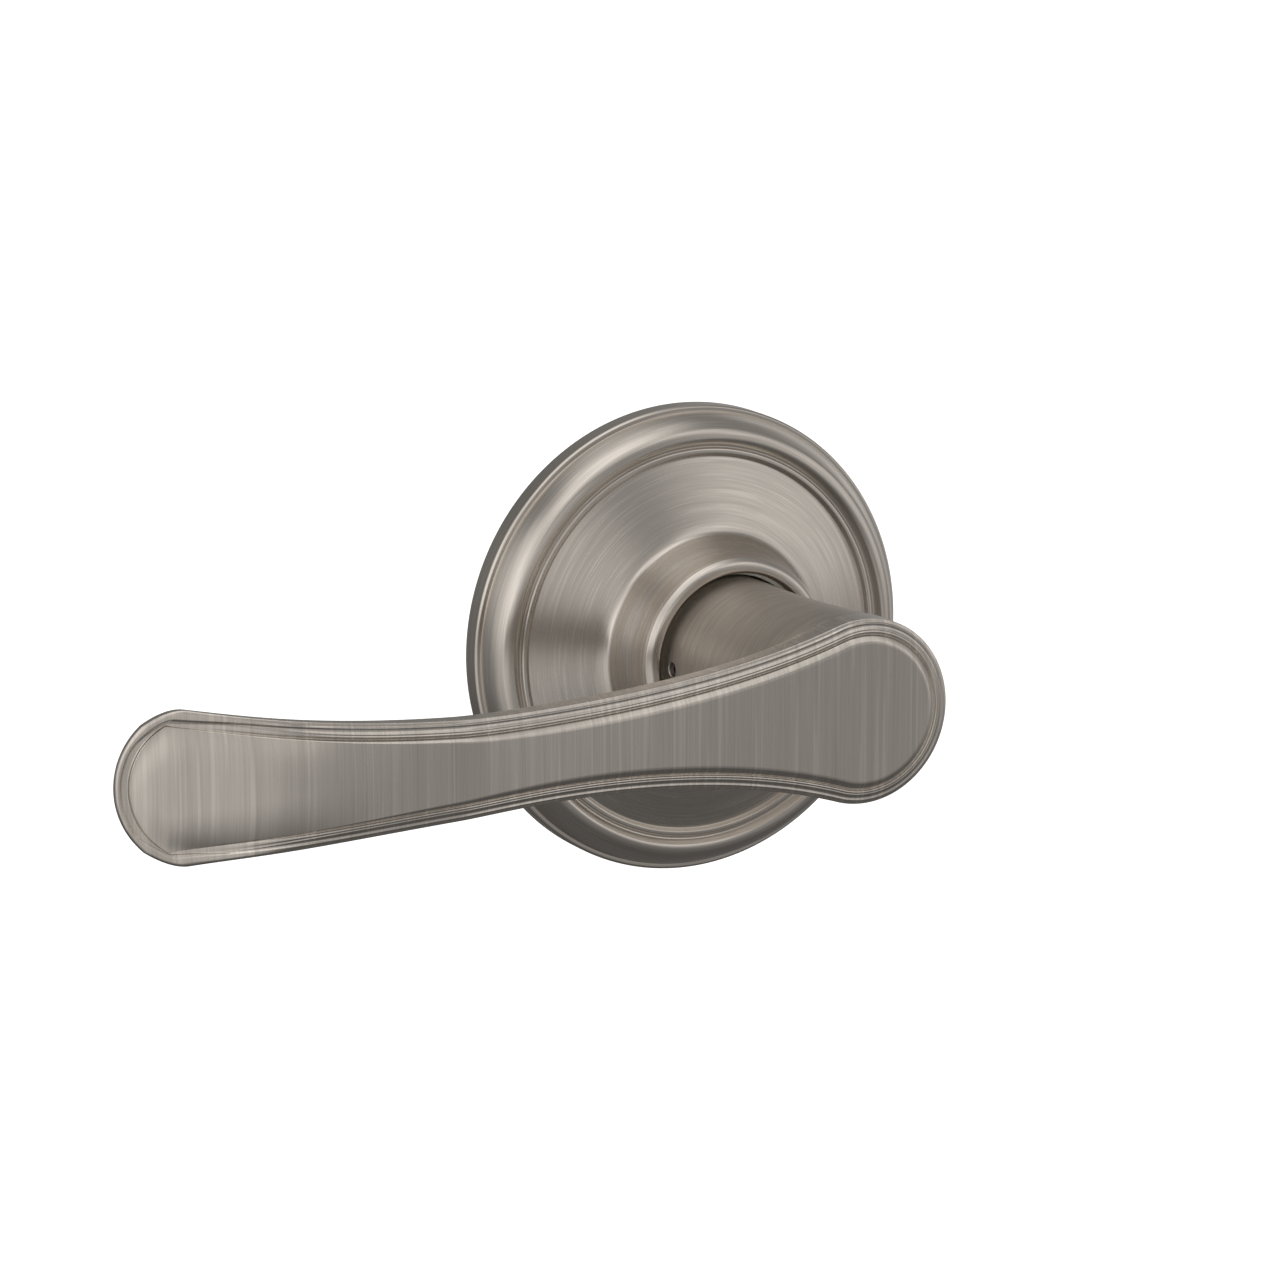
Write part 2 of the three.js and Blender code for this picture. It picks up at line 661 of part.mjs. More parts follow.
// Threaded post: a spigot riveted in the plate, a shoulder behind it and a bore for a screw.
function makePost(x) {
  const spigot = peg(postRadius - 1, -gap - 0.1, plateThick - 0.1, x);
  const body = peg(postRadius, -postDepth, -gap, x);
  return body.add(spigot).subtract(peg(threadRadius, -postDepth - 1, 0.5 - gap, x, 0, 24));
}

add('mounting_post_left', makePost(-postSpread), zincSteel);
add('mounting_post_right', makePost(postSpread), zincSteel);

// Pan-head screws that hold the cage down on the plate.
screwPlaces.forEach(([x, z], i) => {
  const seat = cageBack + cageWall + gap;
  const shaft = peg(screwRadius, 0.8, seat + 0.1, x, z, 24);
  const head = peg(screwRadius + 1.3, seat, seat + 1.5, x, z, 24);
  const slot = block([x - 2.4, x + 2.4], [seat + 0.9, seat + 2], [z - 0.35, z + 0.35]);
  add(`cage_screw_${i + 1}`, shaft.add(head).subtract(slot), steel);
});

// Spring clips riveted round the plate: each folds back over its edge and bows out to grip the
// rosette from inside.
function makeClip(angle) {
  const edge = plateRadius + gap;
  const back = 0.5;
  const bow = 1.1;
  const shape = new THREE.Shape([
    [clipFoot, clipBack], [edge, clipBack], [edge + bow, (clipBack + back) / 2], [edge, back],
    [edge + clipThick, back], [edge + clipThick + bow, (clipBack + back) / 2],
    [edge + clipThick, clipFront], [clipFoot, clipFront],
  ].map(([radius, out]) => new THREE.Vector2(radius, -out)));
  const strip = new THREE.ExtrudeGeometry(shape, { depth: clipWidth, bevelEnabled: false });
  const clip = solid(strip.translate(0, 0, -clipWidth / 2));
  const hole = peg(rivetRadius + 0.2, 0, clipFront + 1, rivetSpread, 0, 16);
  return spin(clip.subtract(hole), angle);
}

function makeRivet(angle) {
  const shaft = peg(rivetRadius, 0.4, clipFront + gap + 0.1, rivetSpread, 0, 16);
  const head = peg(rivetRadius + 0.6, clipFront + gap, clipFront + gap + 0.5, rivetSpread, 0, 16);
  return spin(shaft.add(head), angle);
}

clipAngles.forEach((angle, i) => {
  add(`rose_clip_${i + 1}`, makeClip(angle), springSteel);
  add(`clip_rivet_${i + 1}`, makeRivet(angle), steel);
});

export default handle;
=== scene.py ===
import bpy
import bmesh
import json
import math
import numpy as np
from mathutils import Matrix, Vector

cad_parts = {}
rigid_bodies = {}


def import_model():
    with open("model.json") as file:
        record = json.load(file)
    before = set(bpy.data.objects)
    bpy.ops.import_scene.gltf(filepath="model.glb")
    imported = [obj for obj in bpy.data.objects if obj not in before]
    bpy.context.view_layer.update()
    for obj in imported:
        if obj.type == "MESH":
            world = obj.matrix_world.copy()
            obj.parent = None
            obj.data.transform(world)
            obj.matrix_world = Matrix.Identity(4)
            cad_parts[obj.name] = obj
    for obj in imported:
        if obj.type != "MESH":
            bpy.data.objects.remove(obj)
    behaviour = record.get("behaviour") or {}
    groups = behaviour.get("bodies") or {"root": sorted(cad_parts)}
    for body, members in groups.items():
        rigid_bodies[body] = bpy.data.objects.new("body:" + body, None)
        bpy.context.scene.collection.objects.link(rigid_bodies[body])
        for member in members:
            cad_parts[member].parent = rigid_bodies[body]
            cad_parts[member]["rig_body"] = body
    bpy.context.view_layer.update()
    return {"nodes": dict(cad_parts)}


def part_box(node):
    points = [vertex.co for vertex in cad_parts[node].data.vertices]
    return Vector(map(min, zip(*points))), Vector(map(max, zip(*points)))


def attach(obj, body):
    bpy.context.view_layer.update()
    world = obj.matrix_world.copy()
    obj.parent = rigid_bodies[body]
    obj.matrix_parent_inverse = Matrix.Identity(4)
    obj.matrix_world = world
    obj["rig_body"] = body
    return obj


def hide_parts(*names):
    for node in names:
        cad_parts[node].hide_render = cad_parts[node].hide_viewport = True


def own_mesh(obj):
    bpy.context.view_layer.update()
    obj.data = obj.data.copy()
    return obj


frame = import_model()
print("frame loaded,", len(frame["nodes"]), "nodes")

mm = 0.001
pi = math.pi


def low(node, axis):
    # the node's lowest x, y or z in mm
    return float(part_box(node)[0][axis]) / mm


def high(node, axis):
    # the node's highest x, y or z in mm
    return float(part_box(node)[1][axis]) / mm


def back(node):
    # distance out from the door's face to the node's side nearest the door
    return -high(node, 1)


def front(node):
    # distance out from the door's face to the node's side nearest the hand
    return -low(node, 1)


def bodyOf(node):
    # the body that carries the node
    return frame["nodes"][node]["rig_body"]


# surfaces: every part is (points in mm, faces, uv), and out is the distance from the door's face
# towards the hand, so y = -out

def gridFaces(rows, cols, wrap=False):
    # quads between neighbouring rows and columns of a rows x cols grid of points
    a = np.arange(cols if wrap else cols - 1)
    b = (a + 1) % cols
    r = np.arange(rows - 1)[:, None] * cols
    return np.stack([r + a, r + b, r + cols + b, r + cols + a], axis=-1).reshape(-1, 4)


def lengths(line):
    # distance run along a line of points, from its first point to each
    steps = np.linalg.norm(np.diff(line, axis=0), axis=1)
    return np.concatenate([[0], np.cumsum(steps)])


def joinParts(parts):
    # points end to end, each part's faces counted on from the points before it
    starts = np.cumsum([0] + [len(p[0]) for p in parts[:-1]])
    points = np.vstack([p[0] for p in parts])
    faces = np.vstack([p[1] + start for p, start in zip(parts, starts)])
    return points, faces, np.vstack([p[2] for p in parts])


def makePiece(name, parts, materials, body, nodes, sharp=35):
    # doubles are merged so that seams and poles close; edges turn sharp past that many degrees
    points, faces, uv = joinParts(parts)
    mesh = bpy.data.meshes.new(name)
    mesh.from_pydata((points * mm).tolist(), [], faces.tolist())
    layer = mesh.uv_layers.new(name="surface")
    corner = np.empty(len(mesh.loops), dtype=np.int64)
    mesh.loops.foreach_get("vertex_index", corner)
    layer.data.foreach_set("uv", uv[corner].astype(np.float32).ravel())
    which = np.concatenate([np.full(len(p[1]), min(i, len(materials) - 1)) for i, p in enumerate(parts)])
    mesh.polygons.foreach_set("material_index", which.astype(np.int32))
    bm = bmesh.new()
    bm.from_mesh(mesh)
    bmesh.ops.remove_doubles(bm, verts=bm.verts, dist=2e-6)
    bmesh.ops.dissolve_degenerate(bm, edges=bm.edges, dist=1e-7)
    bmesh.ops.recalc_face_normals(bm, faces=bm.faces)
    bm.to_mesh(mesh)
    bm.free()
    mesh.set_sharp_from_angle(angle=math.radians(sharp))
    mesh.polygons.foreach_set("use_smooth", np.ones(len(mesh.polygons), dtype=bool))
    piece = bpy.data.objects.new(name, mesh)
    bpy.context.collection.objects.link(piece)
    for material in materials:
        mesh.materials.append(material)
    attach(piece, body)
    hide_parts(*nodes)
    return piece


def rounded(corners, steps=6):
    # a line through (x, y, radius) corners, each turned on a curve that starts and ends radius away
    pts = np.array([c[:2] for c in corners], float)
    path = [pts[:1]]
    t = np.linspace(0, 1, steps + 1)[:, None]
    for i in range(1, len(pts) - 1):
        before, after = pts[i - 1] - pts[i], pts[i + 1] - pts[i]
        lb, la = np.hypot(*before), np.hypot(*after)
        r = min(corners[i][2], lb / 2, la / 2) if len(corners[i]) > 2 else 0
        if r == 0:
            path.append(pts[i:i + 1])
        else:
            p, q = pts[i] + before / lb * r, pts[i] + after / la * r
            path.append((1 - t) ** 2 * p + 2 * t * (1 - t) * pts[i] + t ** 2 * q)
    path.append(pts[-1:])
    return np.concatenate(path)


def spun(profile, segments=256, centre=(0, 0), along="y", closed=True):
    # every (radius, out) of the profile turned about an axis: (cx + r cos a, -out, cz + r sin a); along "x"
    # the axis is X instead and the profile's second value is x, at centre (out, z)
    if closed:
        profile = np.vstack([profile, profile[:1]])
    angle = np.linspace(0, 2 * pi, segments, endpoint=False)
    r, far = profile[:, 0:1], profile[:, 1:2] + np.zeros(segments)
    if along == "y":
        points = np.stack([centre[0] + r * np.cos(angle), -far, centre[1] + r * np.sin(angle)], -1)
    else:
        points = np.stack([far, -centre[0] + r * np.cos(angle), centre[1] + r * np.sin(angle)], -1)
    run = lengths(profile)[:, None]
    uv = np.stack([run + np.zeros(segments), np.broadcast_to(angle, far.shape)], -1)
    return points.reshape(-1, 3), gridFaces(len(profile), segments, True), uv.reshape(-1, 2)


def tubeAlong(path, radius, sides=16):
    # circles of the radius carried along the path on frames that never twist: the first frame's normal is
    # slid along, kept square to each direction; both ends close on their middle points
    way = np.gradient(path, axis=0)
    way /= np.linalg.norm(way, axis=1, keepdims=True)
    normal = np.cross(way[0], (0.3, 1, 0.2))
    normals = []
    for w in way:
        normal = normal - w * normal.dot(w)
        normal /= np.linalg.norm(normal)
        normals.append(normal)
    normals = np.array(normals)
    across = np.cross(way, normals)
    angle = np.linspace(0, 2 * pi, sides, endpoint=False)
    ring = np.cos(angle)[:, None] * normals[:, None] + np.sin(angle)[:, None] * across[:, None]
    loops = path[:, None] + radius * ring
    rows = np.concatenate([np.repeat(path[:1, None], sides, 1), loops, np.repeat(path[-1:, None], sides, 1)])
    run = np.concatenate([[0], lengths(path), [lengths(path)[-1]]])
    uv = np.stack([run[:, None] + np.zeros(sides), np.broadcast_to(angle, rows.shape[:2])], -1)
    return rows.reshape(-1, 3), gridFaces(len(rows), sides, True), uv.reshape(-1, 2)


# materials

def nodesOf(name, metallic, roughness):
    # a new material with its node tree and its shader
    material = bpy.data.materials.new(name)
    material.use_nodes = True
    tree = material.node_tree
    shader = tree.nodes["Principled BSDF"]
    shader.inputs["Metallic"].default_value = metallic
    shader.inputs["Roughness"].default_value = roughness
    return material, tree, shader


def calc(tree, operation, a, b=None):
    # one sum on numbers or sockets
    node = tree.nodes.new("ShaderNodeMath")
    node.operation = operation
    for socket, value in zip(node.inputs, (a, b)):
        if isinstance(value, (int, float)):
            socket.default_value = value
        elif value is not None:
            tree.links.new(value, socket)
    return node.outputs[0]


def times(tree, a, b):
    # a times b
    return calc(tree, "MULTIPLY", a, b)


def joined(tree, *values):
    # x, y and z made one vector
    node = tree.nodes.new("ShaderNodeCombineXYZ")
    for socket, value in zip(node.inputs, values):
        if isinstance(value, (int, float)):
            socket.default_value = value
        else:
            tree.links.new(value, socket)
    return node.outputs[0]


def noise(tree, vector, scale, detail, rough):
    # soft noise between 0 and 1 at each point
    node = tree.nodes.new("ShaderNodeTexNoise")
    node.inputs["Scale"].default_value = scale
    node.inputs["Detail"].default_value = detail
    node.inputs["Roughness"].default_value = rough
    tree.links.new(vector, node.inputs["Vector"])
    return node.outputs["Fac"]


def ramp(tree, value, stops):
    # tones given by (place, tone) stops, with a grey where a tone is one number
    node = tree.nodes.new("ShaderNodeValToRGB")
    band = node.color_ramp
    while len(band.elements) < len(stops):
        band.elements.new(0.5)
    for element, (place, tone) in zip(band.elements, stops):
        element.position = place
        element.color = (*tone, 1) if isinstance(tone, tuple) else (tone, tone, tone, 1)
    tree.links.new(value, node.inputs["Fac"])
    return node.outputs["Color"]


def bump(tree, shader, height, distance):
    # fine relief: the height times the distance, in metres
    node = tree.nodes.new("ShaderNodeBump")
    node.inputs["Distance"].default_value = distance
    node.inputs["Strength"].default_value = 1.0
    tree.links.new(height, node.inputs["Height"])
    tree.links.new(node.outputs["Normal"], shader.inputs["Normal"])


def objectPoint(tree):
    # the point in the shared frame, whole and as x, y and z
    node = tree.nodes.new("ShaderNodeTexCoord")
    split = tree.nodes.new("ShaderNodeSeparateXYZ")
    tree.links.new(node.outputs["Object"], split.inputs[0])
    return node.outputs["Object"], split.outputs


def roundPoint(tree):
    # radius from the spindle axis, and the two sides of the direction to the point
    place, (x, y, z) = objectPoint(tree)
    radius = calc(tree, "SQRT", calc(tree, "ADD", times(tree, x, x), times(tree, z, z)))
    safe = calc(tree, "MAXIMUM", radius, 0.0005)
    return radius, y, calc(tree, "DIVIDE", x, safe), calc(tree, "DIVIDE", z, safe)


def around(tone, share):
    # a darker, the same and a lighter tone
    darker = tuple(c * (1 - share) for c in tone)
    lighter = tuple(min(1.0, c * (1 + share)) for c in tone)
    return darker, tuple(tone), lighter


nickel = {
    "tone": (0.70, 0.645, 0.585),
    "rough": 0.29,
    "streak": 0.15,          # how much the strokes vary in tone
    "scratch": 0.24,         # how bright the lone scratches are
    "groove": 5e-6,          # depth of the strokes
}


def brushedNickel(name, turned, stretch, rough, shade=1.0):
    # satin nickel: strokes run along Z on the lever's arm and round the axis on turned surfaces, as lines of
    # fine noise, a broader noise and a few lone scratches; stretch spreads highlights across the strokes; a
    # shade below 1 darkens the whole tone as painted shade
    material, tree, shader = nodesOf(name, 1.0, rough)
    if turned:
        uv = tree.nodes.new("ShaderNodeUVMap")
        uv.uv_map = "surface"
        split = tree.nodes.new("ShaderNodeSeparateXYZ")
        tree.links.new(uv.outputs[0], split.inputs[0])
        _, _, wayX, wayZ = roundPoint(tree)
        run = split.outputs[0]
        fine = joined(tree, times(tree, run, 5.5), times(tree, wayX, 2.0), times(tree, wayZ, 2.0))
        broad = joined(tree, times(tree, run, 0.9), times(tree, wayX, 0.9), times(tree, wayZ, 0.9))
        lone = joined(tree, times(tree, run, 4.0), times(tree, wayX, 2.6), times(tree, wayZ, 2.6))
    else:
        _, (x, y, z) = objectPoint(tree)
        fine = joined(tree, times(tree, x, 4200), times(tree, y, 500), times(tree, z, 45))
        broad = joined(tree, times(tree, x, 900), times(tree, y, 90), times(tree, z, 9))
        lone = joined(tree, times(tree, x, 1500), times(tree, y, 150), times(tree, z, 30))
    fineLines = noise(tree, fine, 1.0, 3.0, 0.6)
    broadLines = noise(tree, broad, 1.0, 3.0, 0.55)
    scratches = ramp(tree, noise(tree, lone, 1.0, 1.0, 0.4), [(0.60, 0.0), (0.72, 1.0)])
    both = calc(tree, "ADD", times(tree, fineLines, 0.55), times(tree, broadLines, 0.45))
    # shade scales the base tone down: painted shade for a part that looks darker in the light, not a
    # different metal
    dark, tone, light = around([c * shade for c in nickel["tone"]], nickel["streak"])
    marked = calc(tree, "ADD", both, times(tree, scratches, nickel["scratch"]))
    tones = [(0.32, dark), (0.5, tone), (0.68, light)]
    tree.links.new(ramp(tree, marked, tones), shader.inputs["Base Color"])
    gloss = [(0.3, rough * 1.15), (0.7, rough * 0.85)]
    tree.links.new(ramp(tree, both, gloss), shader.inputs["Roughness"])
    shader.inputs["Anisotropic"].default_value = stretch
    tangent = tree.nodes.new("ShaderNodeTangent")
    tangent.direction_type = "UV_MAP"
    tangent.uv_map = "surface"
    tree.links.new(tangent.outputs[0], shader.inputs["Tangent"])
    bump(tree, shader, marked, nickel["groove"])
    return material


def platedSteel(name, tone, rough, lines):
    # bright plating over turned or drawn steel: rings of fine lines round the axis, cloudy patches and specks
    material, tree, shader = nodesOf(name, 1.0, rough)
    place, _ = objectPoint(tree)
    radius, y, wayX, wayZ = roundPoint(tree)
    across = calc(tree, "ADD", times(tree, radius, lines), times(tree, y, lines * 0.7))
    rings = noise(tree, joined(tree, across, wayX, wayZ), 1.0, 3.0, 0.6)
    cloud = noise(tree, place, 320, 4.0, 0.6)
    specks = noise(tree, place, 2600, 2.0, 0.6)
    mix = calc(tree, "ADD", times(tree, rings, 0.4), times(tree, cloud, 0.6))
    dark, middle, light = around(tone, 0.16)
    tree.links.new(ramp(tree, mix, [(0.3, dark), (0.5, middle), (0.68, light)]), shader.inputs["Base Color"])
    tree.links.new(ramp(tree, specks, [(0.3, rough * 0.8), (0.7, rough * 1.35)]), shader.inputs["Roughness"])
    bump(tree, shader, calc(tree, "ADD", rings, times(tree, specks, 0.5)), 4e-6)
    return material


def castMetal(name, tone):
    # die-cast zinc: cool grey, soft flow marks and a fine open grain
    material, tree, shader = nodesOf(name, 1.0, 0.5)
    place, _ = objectPoint(tree)
    flow = noise(tree, place, 90, 5.0, 0.62)
    grain = noise(tree, place, 2400, 3.0, 0.7)
    dark, middle, light = around(tone, 0.2)
    tones = [(0.32, dark), (0.5, middle), (0.66, light)]
    tree.links.new(ramp(tree, flow, tones), shader.inputs["Base Color"])
    tree.links.new(ramp(tree, grain, [(0.3, 0.42), (0.7, 0.62)]), shader.inputs["Roughness"])
    bump(tree, shader, calc(tree, "ADD", grain, times(tree, flow, 2.0)), 1.2e-5)
    return material


def springWire(name, tone):
    # oil-tempered wire: dark, with a straw cast in patches and faint drawing lines
    material, tree, shader = nodesOf(name, 1.0, 0.34)
    place, _ = objectPoint(tree)
    patches = noise(tree, place, 260, 4.0, 0.6)
    drawn = noise(tree, place, 3200, 2.0, 0.5)
    warm = (tone[0] * 1.35, tone[1] * 1.2, tone[2] * 0.95)
    tree.links.new(ramp(tree, patches, [(0.35, tone), (0.62, warm)]), shader.inputs["Base Color"])
    tree.links.new(ramp(tree, drawn, [(0.3, 0.28), (0.7, 0.42)]), shader.inputs["Roughness"])
    bump(tree, shader, drawn, 3e-6)
    return material


def mouldedNylon(name, tone):
    # moulded nylon: slightly translucent skin with a fine spark-eroded texture and faint mottling
    material, tree, shader = nodesOf(name, 0.0, 0.5)
    place, _ = objectPoint(tree)
    mottle = noise(tree, place, 150, 4.0, 0.6)
    skin = noise(tree, place, 3500, 2.0, 0.6)
    dark, middle, light = around(tone, 0.08)
    tones = [(0.3, dark), (0.5, middle), (0.7, light)]
    tree.links.new(ramp(tree, mottle, tones), shader.inputs["Base Color"])
    tree.links.new(ramp(tree, skin, [(0.3, 0.42), (0.7, 0.6)]), shader.inputs["Roughness"])
    shader.inputs["Subsurface Weight"].default_value = 0.08
    shader.inputs["Subsurface Radius"].default_value = (0.001, 0.0008, 0.0006)
    bump(tree, shader, skin, 8e-6)
    return material


upright = brushedNickel("nickel brushed upright", False, 0.45, nickel["rough"])
turnedNickel = brushedNickel("nickel brushed round", True, 0.45, nickel["rough"])
# the shank is the same nickel as the arm, its tone painted 0.78 as dark: painted shade for the shank's darker
# look in this light
shankNickelPaintedShade = brushedNickel("nickel on the shank with painted shade", True, 0.15, 0.42, 0.78)
zincPlate = platedSteel("zinc plated steel", (0.60, 0.62, 0.60), 0.30, 3800)
plainSteel = platedSteel("turned steel", (0.52, 0.52, 0.52), 0.34, 5200)
tempered = springWire("tempered spring steel", (0.20, 0.185, 0.165))
castZinc = castMetal("cast zinc", (0.42, 0.43, 0.44))
whiteNylon = mouldedNylon("white nylon", (0.74, 0.71, 0.62))
blackNylon = mouldedNylon("black nylon", (0.028, 0.029, 0.031))
print("materials made")


# rosette
rosette = {
    "edge": high("rosette_cover", 0),       # radius on the door
    "rise": front("rosette_cover"),         # door to the crest of the neck bead
    "hole": 12.3,                           # radius round the shank
    "rim": 2.8,                             # height of the plain rim
    "segments": 320,
}


def rosetteProfile():
    # plain rim, narrow fillet, ovolo, crest, crease with a fine bead in it, shallow cone, shoulder, collar
    # and neck bead; then back inside, one wall lower
    ring, hole, top, rim = rosette["edge"], rosette["hole"], rosette["rise"], rosette["rim"]
    outer = [
        (ring, 0), (ring, rim - 0.05, 0.18), (ring - 0.3, rim + 0.25, 0.12), (ring - 0.85, rim + 0.22, 0.1),
        (ring - 1.0, rim + 0.8, 0.3), (ring - 1.7, 5.5, 1.2), (ring - 3.0, 7.1, 1.2), (ring - 4.4, 7.35, 0.5),
        (ring - 5.25, 6.25, 0.2), (ring - 5.5, 6.25, 0.08), (ring - 5.8, 6.65, 0.2), (ring - 6.4, 6.7, 0.2),
        (ring - 6.8, 6.05, 0.2), (ring - 7.6, 6.35, 0.6), (hole + 5.3, 9.5, 1.4), (hole + 4.25, 10.1, 0.7),
        (hole + 3.6, 12.2, 1.0), (hole + 2.8, 14.45, 0.25), (hole + 2.25, 17.1, 0.12),
        (hole + 2.3, 17.6, 0.3),
        (hole + 1.5, top - 0.05, 0.5), (hole + 0.4, top, 0.4), (hole, top - 0.75, 0.3),
    ]
    inner = [
        (hole, 16.4), (hole + 0.95, 16.4), (hole + 0.95, 9.98), (hole + 2.95, 9.98, 0.3),
        (hole + 5.3, 8.5, 1),
        (ring - 7.4, 5.2, 1), (ring - 5.4, 4.95, 1), (ring - 3, 5.1, 0.6), (ring - 2, 3.3, 0.6),
        (ring - 1.2, 2.2, 0.3), (ring - 1.2, 0),
    ]
    return np.vstack([rounded(outer, 9), rounded(inner, 4)])


makePiece("rosette", [spun(rosetteProfile(), rosette["segments"])], [turnedNickel], "mounting",
          ["rosette_cover"])
print("rosette made")


# lever
lever = {
    "reach": -low("lever_handle", 0),      # spindle axis to the end of the arm
    "head": high("lever_handle", 0),       # radius
    "headOut": 55.2,                       # door to the border's face at the head
    "crestOut": 60.8,                      # and where the arm bows out furthest
    "crestReach": 63.5,
    "tipOut": 50.0,
    "thick": 4.4,                          # to thinReach, then thinning to tipThick at the end
    "thinReach": 60,
    "tipThick": 1.0,
    "endDepth": 6.8,
    "cornerHalf": 10.66,
    "cornerSoft": 4.0,
    "headLeave": 1.89,
    "border": 2.4,
    "tipBorder": 1.8,
    "bevel": 0.75,                         # width of the panel's raised edge
    "rise": 0.38,                          # and its height
    "lean": 0.6,                           # how far the border falls from the panel to the rim
    "pillow": 0.75,                        # how far the panel swells towards the end
    "shank": 11.5,                         # radius at the rosette
    "bore": 9.3,
    "boreEnd": 37.3,                       # out
    "holeOut": 20,                         # release hole: place and radius, and the catch's pocket behind it
    "holeRadius": 1.0,
    "pocketRadius": 2.1,
    "pocketReach": 10.7,                   # spindle axis to the step in the pocket
    "swellFrom": 100, "swellRun": 34,      # the pillow is whole that far out and gone a run nearer
    "rollEnd": 5.5, "rollEdge": 5.0,       # widths over which the pillow falls to the end and the edges
}
headSteps, edgeSteps, cornerSteps, endSteps = 72, 190, 14, 60      # points along the half outline
endRadius = (lever["cornerHalf"] ** 2 + lever["endDepth"] ** 2) / (2 * lever["endDepth"])
endCentre = np.array([endRadius - lever["reach"], 0.0])


def bezier(p, t):
    # a cubic through four control points, and its direction
    t = np.asarray(t, float)[:, None]
    p = np.asarray(p, float)
    place = (1 - t) ** 3 * p[0] + 3 * (1 - t) ** 2 * t * p[1] + 3 * (1 - t) * t * t * p[2] + t ** 3 * p[3]
    way = 3 * (1 - t) ** 2 * (p[1] - p[0]) + 6 * (1 - t) * t * (p[2] - p[1]) + 3 * t * t * (p[3] - p[2])
    return place, way / np.linalg.norm(way, axis=1, keepdims=True)


def spokes(angle, radius, centre):
    # points at those angles on a circle
    return centre + radius * np.stack([np.cos(angle), np.sin(angle)], -1)


def leftOf(way):
    # the direction turned a quarter to the left
    return np.stack([-way[:, 1], way[:, 0]], -1)


corner = np.array([lever["endDepth"] - lever["reach"], lever["cornerHalf"]])
headEnd = spokes(np.array([lever["headLeave"]]), lever["head"], 0)[0]
headWay = np.array([-math.sin(lever["headLeave"]), math.cos(lever["headLeave"])])
cornerWay = np.array([1, -0.17]) / math.hypot(1, 0.17)
longEdge = [headEnd, headEnd - 0.321 * corner[0] * headWay, corner - 0.174 * corner[0] * cornerWay, corner]


def halfOutline(inset, endInset, soft):
    # upper half of the arm's outline drawn in by inset, and by endInset round its end: head's arc, long edge,
    # a corner rounded over a length of soft, and the end's arc
    head = spokes(np.linspace(0, lever["headLeave"], headSteps), lever["head"] - inset, np.zeros(2))
    t = np.linspace(0, 1.05, 2000)
    place, way = bezier(longEdge, t)
    place = place + inset * leftOf(way)
    beyond = np.hypot(*(place - endCentre).T) - (endRadius - endInset)
    late = (t > 0.8) & (place[:, 0] < endCentre[0])
    cusp = float(np.interp(0, beyond[late], t[late]))
    at, wayAt = bezier(longEdge, [cusp])
    sharp = (at + inset * leftOf(wayAt))[0]
    stop = cusp + soft / corner[0]
    edge, edgeWay = bezier(longEdge, np.linspace(0, stop, edgeSteps + 1)[1:])
    edge = edge + inset * leftOf(edgeWay)
    turn = math.atan2(*(sharp - endCentre)[::-1]) + soft / endRadius
    end = spokes(np.linspace(turn, pi, endSteps + 1), endRadius - endInset, endCentre)
    s = np.linspace(0, 1, cornerSteps + 1)[1:, None]
    bend = (1 - s) ** 2 * edge[-1] + 2 * s * (1 - s) * sharp + s ** 2 * end[0]
    return np.vstack([head, edge, bend, end[1:]])


# height of the border's face along the arm: level with the head, out to the crest, back at the end
crest, fall = lever["crestReach"], lever["reach"] - lever["crestReach"]
rising = [(0, lever["headOut"]), (-0.64 * crest, lever["headOut"]),
          (-0.89 * crest, lever["crestOut"]), (-crest, lever["crestOut"])]
falling = [(-crest, lever["crestOut"]), (-crest - 0.62 * fall, lever["crestOut"]),
           (-lever["reach"] + 0.41 * fall, lever["tipOut"] + 5.3), (-lever["reach"], lever["tipOut"])]
faceSteps = np.linspace(0, 1, 600)
faceLine = np.vstack([bezier(rising, faceSteps)[0], bezier(falling, faceSteps)[0][1:]])[::-1]


def faceOut(x):
    # the face's height at an x, read from the line
    return np.interp(x, faceLine[:, 0], faceLine[:, 1])


def thickAt(x):
    # even, then falling by the power 1.5 of the share of the way to the end
    share = np.clip((-x - lever["thinReach"]) / (lever["reach"] - lever["thinReach"]), 0, 1)
    return lever["thick"] - (lever["thick"] - lever["tipThick"]) * share ** 1.5


def ease(t):
    # 0 to 1 with a level start and finish: 3tt - 2ttt
    t = np.clip(t, 0, 1)
    return t * t * (3 - 2 * t)


halfCount = headSteps + edgeSteps + cornerSteps + endSteps
station = np.arange(halfCount)
alongEdge = (station - headSteps) / edgeSteps         # 0 at the head, 1 at the corner
edgeMoulding = 1 - ease((alongEdge - 0.7) / 0.26)     # 1 where the long edge's beads are whole
bevelShare = 1 - ease((alongEdge - 0.3) / 0.55)       # the bevel's width, as a share of its width at the head
cornerReach = 34                                      # points each side of the corner that it pinches


def lifted(flat, lift):
    # outline points (x, z) as (x, y, z), lift above the border's face
    return np.stack([flat[:, 0], -(faceOut(flat[:, 0]) + lift), flat[:, 1]], -1)


def bothHalves(loops):
    # loops of the upper half joined to their mirror images below
    below = loops[:, -2:0:-1].copy()
    below[..., 2] *= -1
    return np.concatenate([loops, below], axis=1)


def flatUV(points):
    # seen from the front, with a little of the depth so that side walls have a direction too
    return np.stack([points[:, 0], points[:, 2] + 0.35 * points[:, 1]], -1)


